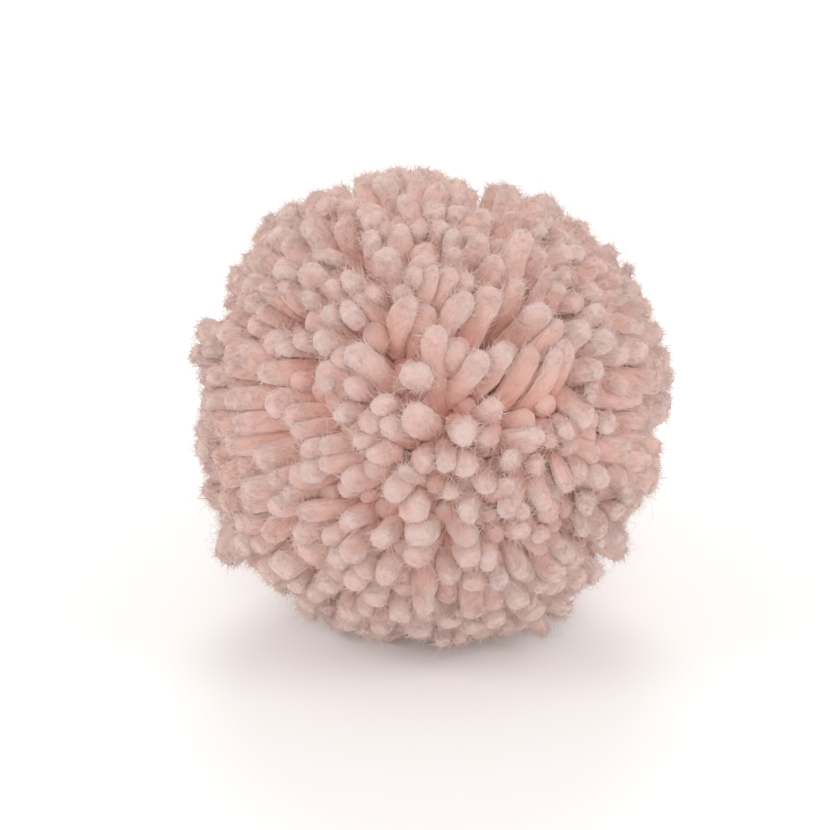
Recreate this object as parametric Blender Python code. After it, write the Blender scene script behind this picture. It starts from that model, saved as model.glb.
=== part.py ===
"""A round pom pom of thick wool yarn, resting on a level surface.

Every strand of yarn grows from the bound middle of the bundle, so the whole pom pom is one
solid: the roots are fused where the binding holds them, and from there the strands stand apart
to their cut tips. Under the pom pom the strands are shorter and end level on the surface.

Units are metres, +Z is up, and the origin lies on the surface under the middle of the pom pom.
The front looks along -Y and a little up. Places on it are given as an angle across, to the
right, and an angle up, both from the middle of the front.
"""
import math

import bmesh
import bpy
import numpy as np
from mathutils import Vector

# Driving dimensions
BALL_RADIUS = 0.045
CENTRE_HEIGHT = 0.0432
CORE_RADIUS = 0.008
NECK_RADIUS = 0.013
BELLY_RADIUS = 0.027
TIP_ROUNDING = 0.0045
LONGEST_TRIM = 0.0020
WIDEST_STRAND = 0.0068
FLOOR_CLEARANCE = 0.0004
FRONT_TILT = math.radians(20)

# Three strands grow from each triangle of a cage with this many corners: 288 in all
CAGE_POINTS = 50
CAGE_UNEVENNESS = 0.02
CORNER_UNEVENNESS = 0.016
SEED = 15

# How much of the room around it each strand fills: at the neck, belly, shoulder and tip
NECK_FILL = 0.80
BELLY_FILL = 0.74
SHOULDER_FILL = 0.75
TIP_FILL = 0.45
FOOT_FILL = 0.62
FILL_UNEVENNESS = 0.08

# Strands bend more towards their tips
BEND_POWER = 1.5

# Where the pom pom swells or dips: degrees across and up, degrees of spread, share of the radius
SWELLS = (
    # name, across, up, spread, rise
    ("crest at upper left", -90, 52, 17, 0.036),
    ("dip at the top", 90, 84, 11, -0.034),
    ("shoulder at right", 90, 20, 16, 0.014),
    ("dip at left", -90, 9, 11, -0.036),
    ("cheek at lower left", -90, -40, 14, 0.055),
    ("chin at right of foot", 90, -66, 13, 0.026),
    ("dip at lower right", 90, -31, 12, -0.042),
    ("middle of the front", 4, 2, 24, 0.010),
    ("middle of the back", 170, 10, 26, 0.018),
    ("dip behind the left", -135, 20, 14, -0.030),
    ("dip behind the right", 130, -12, 13, -0.028),
)

# Lines from which the strands lean away to both sides; a crown is a line of no length
PARTINGS = (
    # name, across and up of its start, across and up of its end, spread, push, all in degrees
    ("crown", -3, 3, 7, 0, 12, 4.2),
    ("crater at upper left", -37, 20, -34, 24, 10, 5.0),
    ("valley beside the fan", -11, 17, -7, 26, 8, 3.0),
    ("hollow under the crown", -10, -12, -4, -12, 9, 3.0),
    ("parting at right", 32, 10, 31, -6, 10, 4.5),
    ("lower parting at right", 36, -12, 42, -24, 9, 3.5),
    ("cleft at the bottom", 4, -34, -3, -50, 10, 4.0),
    ("furrow at left", -52, 2, -28, 3, 9, 3.0),
    ("furrow at lower left", -50, -20, -22, -18, 9, 2.5),
    ("furrow at the top", -14, 56, 10, 60, 10, 3.5),
    ("parting behind the right", 95, 30, 110, -20, 12, 4.5),
    ("crown of the back", 176, 6, -176, 14, 12, 5.0),
    ("furrow behind the left", -100, -10, -130, 5, 12, 4.5),
    ("furrow high on the back", 150, 52, -160, 50, 12, 4.0),
    ("furrow low on the back", 140, -35, -165, -38, 12, 4.0),
)

# Patches combed to one side, on top of the partings
COMBINGS = (
    # name, across, up, spread, lean across, lean up, all in degrees
    ("fan at upper right", 18, 26, 17, 4.0, 6.5),
    ("left side", -36, -8, 18, -6.0, 0.5),
    ("right side", 52, 0, 16, 4.5, 1.5),
    ("lower left", -24, -44, 16, -3.0, -3.5),
    ("lower right", 22, -40, 15, 1.5, -4.0),
    ("upper left", -44, 44, 15, -2.5, 2.5),
    ("left of the back", -140, -15, 20, 5.0, 2.0),
    ("right of the back", 140, 20, 20, -4.0, -3.5),
)


def clear_scene():
    """Remove whatever the scene holds."""
    for thing in list(bpy.data.objects):
        bpy.data.objects.remove(thing, do_unlink=True)


def on_front(across, up):
    """Unit vector towards a place given in degrees across and up from the middle of the front."""
    across, up = math.radians(across), math.radians(up)
    right = math.sin(across) * math.cos(up)
    forward = math.cos(across) * math.cos(up)
    rise = math.sin(up)
    return np.array((
        right,
        rise * math.sin(FRONT_TILT) - forward * math.cos(FRONT_TILT),
        rise * math.cos(FRONT_TILT) + forward * math.sin(FRONT_TILT),
    ))


def unit(vectors):
    """The same vectors at length one."""
    return vectors / np.linalg.norm(vectors, axis=-1, keepdims=True)


def fade(offsets, spread):
    """A bell that is one at no distance and falls off over the spread, in radians."""
    distance = np.linalg.norm(offsets, axis=-1, keepdims=True)
    return np.exp(-0.5 * (distance / spread) ** 2)


def nearest_on_line(directions, start, end):
    """For each direction, the nearest place on the line between two directions."""
    along = end - start
    share = (directions - start) @ along / max(along @ along, 1e-9)
    return unit(start + np.clip(share, 0.0, 1.0)[..., None] * along)


def lean(directions):
    """How far, and which way, strands rooted in these directions lean at their tips."""
    total = np.zeros_like(directions)
    for _, across_0, up_0, across_1, up_1, spread, push in PARTINGS:
        spread = math.radians(spread)
        line = nearest_on_line(directions, on_front(across_0, up_0), on_front(across_1, up_1))
        away = directions - line
        total += math.radians(push) * away / spread * fade(away, spread) * math.sqrt(math.e)
    for _, across, up, spread, lean_across, lean_up in COMBINGS:
        patch = on_front(across, up)
        way = on_front(across + lean_across, up + lean_up) - patch
        total += way * fade(directions - patch, math.radians(spread))
    inward = np.sum(total * directions, axis=-1, keepdims=True)
    return total - inward * directions


def swell(directions):
    """How far the pom pom reaches in each direction, as a share of its radius."""
    reach = np.ones(directions.shape[:-1] + (1,))
    for _, across, up, spread, rise in SWELLS:
        reach += rise * fade(directions - on_front(across, up), math.radians(spread))
    return reach


def bent(directions, distance):
    """Where strands with these straight directions have bent to, this far from the middle."""
    bend = ((distance - CORE_RADIUS) / (BALL_RADIUS - CORE_RADIUS)) ** BEND_POWER
    return unit(directions + bend * lean(directions))


def spiral_points(rng):
    """Points spread over a unit sphere along a spiral, each nudged a little."""
    turn = math.pi * (3.0 - math.sqrt(5.0))
    index = np.arange(CAGE_POINTS)
    height = 1.0 - 2.0 * (index + 0.5) / CAGE_POINTS
    girth = np.sqrt(1.0 - height ** 2)
    points = np.stack((girth * np.cos(turn * index), girth * np.sin(turn * index), height), axis=1)
    return unit(points + rng.normal(0.0, CAGE_UNEVENNESS, points.shape))


def root_cells(rng):
    """Corners on a unit sphere, and the four-sided cells between them that strands grow from.

    A cage of triangles is parted near the middle of each triangle and of each of its sides, and
    turned until one cell faces straight down.
    """
    cage = bmesh.new()
    for point in spiral_points(rng):
        cage.verts.new(point)
    bmesh.ops.convex_hull(cage, input=cage.verts)
    bmesh.ops.recalc_face_normals(cage, faces=cage.faces)
    cage.verts.index_update()
    corners = [vert.co.normalized() for vert in cage.verts]
    middle_of = {}
    for edge in cage.edges:
        middle_of[edge] = len(corners)
        corners.append((edge.verts[0].co + edge.verts[1].co).normalized())
    cells = []
    for face in cage.faces:
        centre = len(corners)
        corners.append(face.calc_center_median().normalized())
        for loop in face.loops:
            before = middle_of[loop.link_loop_prev.edge]
            cells.append((loop.vert.index, middle_of[loop.edge], centre, before))
    cage.free()
    nudges = rng.normal(0.0, CORNER_UNEVENNESS, (len(corners), 3))
    corners = [(corner + Vector(nudge)).normalized() for corner, nudge in zip(corners, nudges)]
    middles = [sum((corners[i] for i in cell), Vector()).normalized() for cell in cells]
    lowest = min(middles, key=lambda middle: middle.z)
    turn = lowest.rotation_difference(Vector((0.0, 0.0, -1.0)))
    return np.array([turn @ corner for corner in corners]), np.array(cells)


def ring_around(cells, distance, fill):
    """Four corners of every strand, each at its own distance from the middle."""
    middles = unit(cells.mean(axis=1, keepdims=True))
    offsets = cells - middles
    widths = np.linalg.norm(offsets, axis=2, keepdims=True)
    evened = 0.5 * (widths + widths.mean(axis=1, keepdims=True))
    corners = bent(unit(middles + fill * evened * offsets / widths), distance)
    middles = bent(middles, distance)
    offsets = corners - middles
    diagonals = 2.0 * distance * np.linalg.norm(offsets, axis=2, keepdims=True)
    sides = diagonals.mean(axis=1, keepdims=True) / math.sqrt(2.0)
    slimming = np.minimum(1.0, WIDEST_STRAND / sides)
    return distance * unit(middles + slimming * offsets) + (0.0, 0.0, CENTRE_HEIGHT)


def length_to_floor(middles, length):
    """The lengths at which the middles of the strands meet the surface, or their own if less."""
    shortened = length
    for _ in range(8):
        down = -bent(middles, shortened)[..., 2:]
        shortened = np.minimum(length, CENTRE_HEIGHT / np.maximum(down, 0.5))
    return shortened


def strand_rings(cells, rng):
    """Corners of every strand at its neck, belly, shoulder and tip."""
    count = len(cells)
    trim = rng.uniform(0.0, LONGEST_TRIM, (count, 1, 1))
    fullness = 1.0 - rng.uniform(0.0, FILL_UNEVENNESS, (count, 1, 1))
    middles = unit(cells.mean(axis=1, keepdims=True))
    length = BALL_RADIUS * swell(bent(middles, BALL_RADIUS)) - trim
    lowest = ring_around(cells, length, TIP_FILL * fullness)[..., 2:].min(axis=1, keepdims=True)
    on_floor = lowest < FLOOR_CLEARANCE
    length = np.where(on_floor, length_to_floor(middles, length), length)
    tips = ring_around(cells, length, np.where(on_floor, FOOT_FILL, TIP_FILL) * fullness)
    tips[..., 2:] = np.where(on_floor, 0.0, tips[..., 2:])
    return (
        ring_around(cells, np.full_like(length, NECK_RADIUS), NECK_FILL * fullness),
        ring_around(cells, np.full_like(length, BELLY_RADIUS), BELLY_FILL * fullness),
        ring_around(cells, length - TIP_ROUNDING, SHOULDER_FILL * fullness),
        tips,
    )


def yarn_material():
    """Soft, dull, dusty pink wool."""
    material = bpy.data.materials.new("dusty_pink_wool")
    material.use_nodes = True
    shader = material.node_tree.nodes["Principled BSDF"]
    shader.inputs["Base Color"].default_value = (0.72, 0.47, 0.42, 1.0)
    shader.inputs["Roughness"].default_value = 0.95
    shader.inputs["Metallic"].default_value = 0.0
    return material


def make_pompom():
    """The whole pom pom: strands that share their root corners and nothing else."""
    rng = np.random.default_rng(SEED)
    corners, cells = root_cells(rng)
    points = [corners * CORE_RADIUS + (0.0, 0.0, CENTRE_HEIGHT)]
    faces = []
    below = cells
    for ring in strand_rings(corners[cells], rng):
        above = sum(map(len, points)) + np.arange(ring.shape[0] * 4).reshape(-1, 4)
        points.append(ring.reshape(-1, 3))
        for side in range(4):
            after = (side + 1) % 4
            wall = np.stack((below[:, side], below[:, after], above[:, after], above[:, side]), 1)
            faces.extend(wall.tolist())
        below = above
    faces.extend(below.tolist())

    points = np.concatenate(points)
    points[:, :2] -= (points[:, :2].min(axis=0) + points[:, :2].max(axis=0)) / 2.0
    mesh = bpy.data.meshes.new("pompom")
    mesh.from_pydata(points.tolist(), [], faces)
    mesh.shade_smooth()
    mesh.materials.append(yarn_material())
    pompom = bpy.data.objects.new("pompom", mesh)
    bpy.context.scene.collection.objects.link(pompom)


clear_scene()
make_pompom()
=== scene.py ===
"""A dusty pink yarn pom pom: thick single-ply strands, their loose fibres, and a plain studio.

Sizes are in metres. A place on the ball is given in degrees across, to the right, and up from the
middle of the front, or as the pixel of the 830 x 830 picture at which the camera sees it. A pair
whose name ends in CHANCE is the middle and the spread of a random number's logarithm.
"""

import math

import bpy
import numpy as np
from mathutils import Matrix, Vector


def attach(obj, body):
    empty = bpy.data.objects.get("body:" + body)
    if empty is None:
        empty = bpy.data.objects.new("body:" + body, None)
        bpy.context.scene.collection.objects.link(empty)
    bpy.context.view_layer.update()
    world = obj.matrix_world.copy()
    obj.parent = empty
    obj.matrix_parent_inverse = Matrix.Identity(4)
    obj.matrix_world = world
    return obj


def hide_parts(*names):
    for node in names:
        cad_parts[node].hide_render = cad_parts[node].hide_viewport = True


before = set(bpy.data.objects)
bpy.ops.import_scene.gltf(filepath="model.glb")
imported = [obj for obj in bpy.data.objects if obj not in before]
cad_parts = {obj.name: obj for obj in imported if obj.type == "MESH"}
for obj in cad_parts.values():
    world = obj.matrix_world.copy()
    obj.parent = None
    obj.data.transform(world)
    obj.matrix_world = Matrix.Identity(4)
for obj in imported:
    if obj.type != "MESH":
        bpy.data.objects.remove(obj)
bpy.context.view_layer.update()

# The ball; the middle of its front is tilted up, towards the camera
BALL_RADIUS = 0.045
CENTRE = np.array((0.0, 0.0, 0.0432))
CORE_RADIUS = 0.008
FRONT_TILT = math.radians(20)
SEED = 5

# The yarn: long strands reach the surface, and short ones fill the room between them. Loose fibres
# grow on the long ones and on some of the short ones.
LONG_STRANDS = 690
SHORT_STRANDS = 390
STRANDS = LONG_STRANDS + SHORT_STRANDS
WOOLLY_STRANDS = LONG_STRANDS + SHORT_STRANDS // 3
YARN_RADIUS = 0.00200
THIN_SHARE, THIN_WIDTH = 0.06, 0.7
WIDTH_CHANCE = (-0.06, 0.12)
LONGEST_TRIM = 0.0032
TRIM_POWER = 2.2
HELD_TRIM = 0.3
SHORTEST_REACH, LONGEST_REACH = 0.0365, 0.0412
NODES = 14

# Which way strands lean: they bend from the foot, where they come out from between the others.
# Others copy the shown strands near them, and the rest follow the flow of the pom pom, in tufts.
FOOT_RADIUS = 0.0355
FOOT_BEND = 1.15
LEAN_SHARE = 1.3
CLUMPS = 220
CLUMP_SPREAD = math.radians(6.0)
CLUMP_PULL = math.radians(4.0)
COPY_SPREAD = math.radians(7.5)
OWN_FLOW = 0.25
SHORT_LEAN = 0.5
STRAY = math.radians(4.2)
SWAY = 0.0011
SWAY_TURN = 5.0
HELD_SWAY = 0.5

# How strands share out the surface, and the sphere below it that the short ones fill. A strand's
# side is kept free of other tips over the longest view.
NEIGHBOURS = 26
FILLED_RADIUS = 0.036
LONGEST_VIEW = 0.0120
HELD_FIRMNESS = 4.0
TOUCHING = 0.98
FIRST_ROOM = 1.45
SHARE_PUSH = 0.25
FIRST_STEPS, ROUNDS, ROUND_STEPS, SHORT_STEPS = 60, 4, 30, 80
STEPS_TO_RENEW = 10

# How packed strands push each other aside
SETTLE_STEPS = 50
FIRST_MOVED_NODE = 5
NEIGHBOUR_NODE = -3
HELD_YIELD = 0.12
PACKING = 0.96
SETTLE_PUSH = 0.30
SETTLE_RETURN = 0.04
STRAIGHTENING = 0.20

# A strand's section, as shares of its radius: its width where nothing presses it, how far its
# neighbours and the lid over it press it in, and how sharply. The cuts slant to follow the ball.
BULGE = 1.42
OVERLAP = 1.10
PRESS, LID_PRESS = 7.0, 4.0
FLATNESS = 1.2
THINNEST = 0.68
LEAST_COSINE = 0.02
CUT_SLANT, CUT_DEPTH = 0.55, 0.0020

# The wool: its colours, from the pale tips to painted shade that is darker and redder in the depth,
# the depth that takes the deepest of them, the depth that full pressing adds as painted shade
# between touching strands, what else moves a place along the ramp of colours, and how evenly the pom
# pom shades
DEEP_SHADE_COLOUR = (0.63, 0.285, 0.222)
MIDDLE_SHADE_COLOUR = (0.655, 0.372, 0.313)
PALE_COLOUR = (0.588, 0.432, 0.397)
SHEEN_COLOUR = (0.92, 0.66, 0.58)
SHEEN, SHEEN_ROUGHNESS = 0.8, 0.5
ROUGHNESS, SPECULAR = 0.95, 0.15
BUMP_STRENGTH, BUMP_HEIGHT = 0.8, 0.00040
STREAK_SCALE = (2600.0, 2600.0, 480.0)
MOTTLE_SCALE = (420.0, 420.0, 260.0)
MIDDLE_PLACE = 0.45
FULL_SHADE_DEPTH = 0.0130
PRESSED_SHADE_DEPTH = 0.016
MOTTLE_SHARE, STREAK_SHARE, SHADE_SHARE = 0.45, 0.40, 0.20
RAMP_START = 0.45
EVENNESS = 0.62
CELL_MARGIN = 0.06

# The picture's frame
PICTURE_SIZE = 830
BALL_CENTRE_PX = (430.0, 407.0)
BALL_RADIUS_PX = 240.0
LENS = 100.0
SENSOR = 36.0

# The light, and the gamma of the view
SUN_WIDTH = math.radians(26)
SUN_COLOUR = (1.0, 0.995, 0.99)
SKY_COLOUR = (1.0, 0.960, 0.942)
FLOOR_COLOUR = (0.95, 0.945, 0.94)
FLOOR_HALF = 3.0
HORIZON, ZENITH = 1.06, 0.68
SKY_BAND = (0.10, 0.50)
VIEW_GAMMA = 1.22
SUNS = (
    # name, across, up, strength
    ("front", 0, 27, 0.84),
    ("right", 68, 32, 0.68),
    ("left", -68, 32, 0.72),
    ("back", 180, 45, 0.90),
)

# Strands that show best on the front, in pixels: the middle of the tip, the foot, and the width as
# a share of the common one
SHOWN_STRANDS = (
    # tip x, tip y, foot x, foot y, width
    # crown, and left of it
    (463, 430, 460, 425, 1.10),
    (420, 461, 432, 452, 1.00),
    (480, 364, 442, 406, 0.96),
    (493, 406, 480, 430, 0.86),
    (467, 472, 462, 452, 0.98),
    (490, 484, 476, 462, 0.92),
    (508, 456, 508, 478, 0.84),
    (443, 466, 446, 446, 0.90),
    (411, 372, 416, 386, 1.00),
    (376, 403, 392, 404, 0.92),
    (351, 389, 376, 394, 0.88),
    (335, 419, 366, 414, 0.84),
    (411, 422, 436, 440, 1.05),
    (353, 356, 398, 398, 1.10),
    # fan at upper right
    (424, 257, 404, 300, 0.98),
    (445, 276, 416, 330, 0.92),
    (467, 277, 441, 318, 0.80),
    (460, 301, 424, 346, 0.92),
    (491, 294, 458, 346, 1.00),
    (440, 328, 437, 414, 1.06),
    (535, 309, 508, 344, 1.06),
    (516, 281, 500, 330, 0.72),
    (502, 350, 470, 392, 0.94),
    (556, 320, 508, 396, 0.92),
    (534, 344, 498, 414, 0.88),
    (549, 352, 522, 424, 0.84),
    (572, 346, 546, 420, 0.80),
    (558, 282, 528, 322, 0.86),
    (497, 258, 476, 300, 0.92),
    (540, 250, 512, 296, 0.92),
    (452, 252, 446, 290, 0.74),
    (480, 236, 466, 280, 0.90),
    # right
    (600, 372, 558, 376, 0.90),
    (592, 400, 588, 352, 0.62),
    (640, 402, 566, 398, 0.94),
    (652, 432, 552, 414, 0.96),
    (632, 446, 560, 432, 0.94),
    (655, 462, 562, 448, 0.90),
    (608, 482, 568, 466, 1.12),
    (566, 494, 549, 430, 0.70),
    (587, 534, 572, 478, 0.72),
    (582, 330, 552, 348, 0.86),
    (612, 322, 572, 318, 0.84),
    (622, 352, 576, 348, 0.92),
    (600, 292, 574, 300, 0.92),
    (630, 290, 580, 304, 0.86),
    (632, 500, 590, 486, 0.90),
    (620, 510, 584, 500, 0.84),
    # below the crown
    (526, 506, 492, 502, 0.88),
    (418, 512, 416, 486, 1.06),
    (470, 518, 470, 492, 0.96),
    (524, 530, 498, 520, 0.92),
    (489, 562, 480, 528, 1.00),
    (521, 570, 506, 532, 0.92),
    (581, 566, 545, 530, 1.00),
    (410, 562, 440, 536, 1.06),
    (389, 579, 404, 545, 1.06),
    (350, 587, 373, 550, 1.06),
    (343, 532, 368, 514, 0.94),
    (470, 612, 466, 560, 0.96),
    (425, 620, 440, 572, 0.98),
    (534, 610, 508, 566, 0.96),
    (372, 546, 398, 524, 0.90),
    (446, 588, 452, 548, 0.92),
    # round the foot
    (345, 618, 362, 576, 1.05),
    (368, 606, 380, 566, 1.00),
    (398, 618, 404, 576, 1.00),
    (450, 632, 446, 587, 1.00),
    (500, 624, 486, 581, 1.05),
    (560, 592, 534, 555, 1.00),
    (520, 632, 502, 587, 1.00),
    (482, 640, 472, 593, 1.00),
    (418, 638, 420, 592, 1.00),
    (380, 634, 390, 588, 1.00),
    (322, 592, 344, 555, 0.95),
    (330, 565, 350, 533, 0.95),
    (300, 604, 326, 566, 0.95),
    # left
    (352, 450, 398, 436, 0.86),
    (325, 451, 372, 446, 0.74),
    (256, 452, 310, 450, 1.00),
    (293, 432, 350, 424, 0.72),
    (272, 478, 334, 464, 0.66),
    (283, 494, 334, 482, 0.72),
    (346, 483, 384, 472, 1.06),
    (389, 494, 424, 468, 0.98),
    (298, 512, 368, 507, 0.78),
    (320, 391, 344, 372, 0.68),
    (253, 371, 322, 368, 0.94),
    (270, 402, 330, 398, 1.00),
    (285, 415, 340, 408, 0.84),
    (225, 400, 300, 398, 0.90),
    (230, 425, 300, 420, 0.92),
    (222, 448, 300, 438, 0.90),
    (268, 508, 330, 496, 0.80),
    (300, 545, 344, 518, 0.90),
    # crater at upper left
    (282, 286, 318, 312, 0.90),
    (300, 273, 330, 306, 0.94),
    (302, 292, 326, 318, 0.66),
    (331, 289, 350, 318, 0.84),
    (346, 308, 366, 330, 0.86),
    (326, 313, 352, 334, 0.84),
    (256, 310, 300, 328, 0.66),
    (322, 343, 352, 352, 0.90),
    (277, 344, 316, 350, 0.74),
    (354, 301, 396, 332, 0.58),
    (298, 334, 330, 346, 0.70),
    # above the crater
    (317, 251, 362, 262, 0.68),
    (383, 253, 392, 292, 1.08),
    (366, 230, 376, 270, 0.86),
    (392, 226, 398, 266, 0.92),
    (345, 278, 372, 300, 0.90),
    (366, 284, 384, 306, 0.80),
    (310, 226, 344, 264, 0.90),
    (336, 222, 362, 262, 0.86),
    (284, 244, 326, 280, 0.92),
    (258, 262, 308, 296, 0.90),
    # top
    (494, 178, 478, 246, 0.60),
    (420, 174, 422, 240, 0.72),
)

# Hollows between strands and long sides of strands on the front, in pixels, where no end of a
# long strand comes to the surface
HOLLOWS = (
    # x, y, radius
    # crater, and the level strand above it
    (286, 309, 13),
    (302, 317, 15),
    (319, 327, 11),
    (338, 256, 9),
    (353, 260, 8),
    (336, 269, 8),
    (362, 274, 9),
    # left
    (288, 370, 9),
    (306, 369, 9),
    (302, 400, 9),
    (286, 451, 8),
    (324, 510, 9),
    (346, 509, 8),
    # between the crater and the crown
    (372, 314, 8),
    (385, 324, 7),
    (388, 286, 12),
    (386, 336, 13),
    (393, 357, 9),
    (322, 230, 10),
    # crown
    (427, 394, 12),
    (439, 420, 7),
    (466, 398, 12),
    (455, 449, 6),
    (400, 460, 9),
    # right of the crown
    (526, 460, 10),
    (538, 410, 10),
    (545, 382, 11),
    (552, 352, 10),
    (520, 402, 10),
    (527, 376, 10),
    (505, 372, 9),
    (580, 384, 9),
    (478, 300, 8),
    (520, 330, 9),
    (484, 334, 12),
    (528, 290, 8),
    (562, 364, 12),
    (556, 402, 11),
    # below the crown
    (366, 508, 8),
    (400, 528, 8),
    (455, 535, 7),
    (450, 556, 10),
    (442, 580, 9),
    # far left, and the foot
    (263, 466, 7),
    (330, 608, 12),
)

# Where the pom pom swells or dips: degrees across and up, degrees of spread, share of the radius
SWELLS = (
    # name, across, up, spread, rise
    ("crest at upper left", -90, 52, 17, 0.036),
    ("dip at the top", 90, 84, 11, -0.034),
    ("shoulder at right", 90, 20, 16, 0.014),
    ("dip at left", -90, 9, 11, -0.036),
    ("cheek at lower left", -90, -40, 14, 0.014),
    ("chin at right of foot", 90, -66, 13, 0.026),
    ("dip at lower right", 90, -31, 12, -0.042),
    ("middle of the front", 4, 2, 24, 0.010),
    ("middle of the back", 170, 10, 26, 0.018),
    ("dip behind the left", -135, 20, 14, -0.030),
    ("dip behind the right", 130, -12, 13, -0.028),
    ("front of the foot", 0, -82, 13, -0.024),
)

# Lines from which the strands lean away to both sides; a crown is a line of no length
PARTINGS = (
    # name, across and up of its start, across and up of its end, spread, push, all in degrees
    ("cleft at the bottom", 4, -34, -3, -50, 10, 4.0),
    ("furrow at lower left", -50, -20, -22, -18, 9, 2.5),
    ("furrow at the top", -14, 56, 10, 60, 10, 3.5),
    ("parting behind the right", 95, 30, 110, -20, 12, 4.5),
    ("crown of the back", 176, 6, -176, 14, 12, 5.0),
    ("furrow behind the left", -100, -10, -130, 5, 12, 4.5),
    ("furrow high on the back", 150, 52, -160, 50, 12, 4.0),
    ("furrow low on the back", 140, -35, -165, -38, 12, 4.0),
)

# Patches combed to one side, on top of the partings
COMBINGS = (
    # name, across, up, spread, lean across, lean up, all in degrees
    ("lower left", -24, -44, 16, -3.0, -3.5),
    ("lower right", 22, -40, 15, 1.5, -4.0),
    ("upper left", -44, 44, 15, -2.5, 2.5),
    ("left of the back", -140, -15, 20, 5.0, 2.0),
    ("right of the back", 140, 20, 20, -4.0, -3.5),
)

# Rings of a strand, by their distance from its tip, and their width as a share of the common one
RINGS = (
    # from tip, width
    (0.0370, 0.90),
    (0.0230, 0.98),
    (0.0165, 1.00),
    (0.0120, 1.00),
    (0.0087, 1.00),
    (0.0062, 0.98),
    (0.0042, 0.96),
    (0.0026, 0.91),
    (0.0014, 0.81),
    (0.0006, 0.63),
    (0.0001, 0.38),
)
RING_PLACES, RING_WIDTHS = np.array(RINGS).T
SIDES = 10

# Waves of a strand's surface, with their heights as shares of its radius
LUMPS = (
    # height, turns round, waves per metre
    (0.100, 0, 75.0),
    (0.060, 0, 190.0),
    (0.085, 2, 48.0),
    (0.060, 3, -127.0),
    (0.040, 5, 175.0),
)

# Loose fibres along the strands, with their slant in degrees. They gather towards the tips, and the
# strand's width that they stand on tapers past its tip.
FIBRES = (
    # name, count, thickness, shortest, longest, deepest, slant, stand-off, curl, rings
    ("nap_tips", 34000, 0.00016, 0.0012, 0.0026, 0.0036, 50.0, 0.00100, 0.00045, 1),
    ("nap_sides", 37000, 0.00015, 0.0014, 0.0032, 0.0085, 42.0, 0.00115, 0.00045, 1),
    ("haze", 24000, 0.00011, 0.0018, 0.0038, 0.0060, 60.0, 0.00190, 0.00075, 1),
    ("fringe", 6000, 0.00009, 0.0020, 0.0040, 0.0070, 50.0, 0.00130, 0.00060, 2),
)
FIBRE_SHALLOWEST = 0.0008
TIPWARD = 1.3
FIBRE_TURN = 1.5
FIBRE_RISE_CHANCE = (-0.2, 0.45)
FIBRE_SIDES = 3
FIBRE_TAPER = 0.6
PAST_TAPER, PAST_LENGTH = 0.4, 0.002
CURL_WAVES = (2.0, 6.5)

# Cut fibres that stand on the ends of long strands
ENDS = 43000
END_THICKNESS = 0.00015
END_SHORTEST, END_LONGEST = 0.0010, 0.0024
END_DOME = 0.0013
END_RISE, END_RISE_SPREAD = 0.30, 0.35
END_SPREAD = 0.7

# Long loose fibres that lie over several strands
VEIL = 5000
VEIL_RINGS = 3
VEIL_THICKNESS = 0.00007
VEIL_SHORTEST, VEIL_LONGEST = 0.0030, 0.0085
VEIL_DEPTH = 0.009
VEIL_TURN = 0.9
VEIL_RISE_CHANCE = (-7.6, 0.7)
VEIL_ALONG = 0.8
VEIL_CURL = 0.0008

# Fibres across the gaps between neighbouring strands
BRIDGES = 7000
BRIDGE_RINGS = 2
BRIDGE_THICKNESS = 0.00007
BRIDGE_REACH = 0.0095
BRIDGE_SHALLOWEST, BRIDGE_DEPTH = 0.001, 0.012
BRIDGE_TURN = 0.6
BRIDGE_CURL = 0.0007

# Rings of a strand, counted from its tip, at which fibres take their bearings
END_RING = -3
FLANK_RING = -5
BRIDGE_RING = -6


# --- directions on the ball ---

def on_front(across, up):
    """Unit vector towards a place given in degrees across and up from the middle of the front."""
    across, up = math.radians(across), math.radians(up)
    right = math.sin(across) * math.cos(up)
    forward = math.cos(across) * math.cos(up)
    rise = math.sin(up)
    return np.array((
        right,
        rise * math.sin(FRONT_TILT) - forward * math.cos(FRONT_TILT),
        rise * math.cos(FRONT_TILT) + forward * math.sin(FRONT_TILT),
    ))


RIGHT = on_front(90, 0)
UP = on_front(0, 90)
OUT = on_front(0, 0)
PIXEL_SLOPE = SENSOR / LENS / PICTURE_SIZE
CAMERA_DISTANCE = BALL_RADIUS / math.sin(math.atan(BALL_RADIUS_PX * PIXEL_SLOPE))


def unit(vectors):
    """The same vectors at length one."""
    return vectors / np.maximum(np.linalg.norm(vectors, axis=-1, keepdims=True), 1e-12)


def square_to(vectors, ways):
    """What is left of vectors without their part along unit ways."""
    return vectors - np.sum(vectors * ways, axis=-1, keepdims=True) * ways


def turned(angle, normals, sides):
    """Directions at angles round an axis, from the two directions square to it."""
    return np.cos(angle)[..., None] * normals + np.sin(angle)[..., None] * sides


def seen_at(pixels, radius):
    """Points on a sphere about the middle of the ball that the camera sees at some pixels."""
    slope = (np.asarray(pixels, float) - BALL_CENTRE_PX) * PIXEL_SLOPE
    rays = unit(slope[:, :1] * RIGHT - slope[:, 1:] * UP - OUT)
    nearest = -CAMERA_DISTANCE * (rays @ OUT)
    inside = np.maximum(nearest ** 2 - CAMERA_DISTANCE ** 2 + radius ** 2, 0.0)
    return CAMERA_DISTANCE * OUT + (nearest - np.sqrt(inside))[:, None] * rays


def fade(offsets, spread):
    """A bell that is one at no distance and falls off over the spread, in radians."""
    distance = np.linalg.norm(offsets, axis=-1, keepdims=True)
    return np.exp(-0.5 * (distance / spread) ** 2)


def nearest_on_line(directions, start, end):
    """For each direction, the nearest place on the line between two directions."""
    along = end - start
    share = (directions - start) @ along / max(along @ along, 1e-9)
    return unit(start + np.clip(share, 0.0, 1.0)[..., None] * along)


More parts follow.
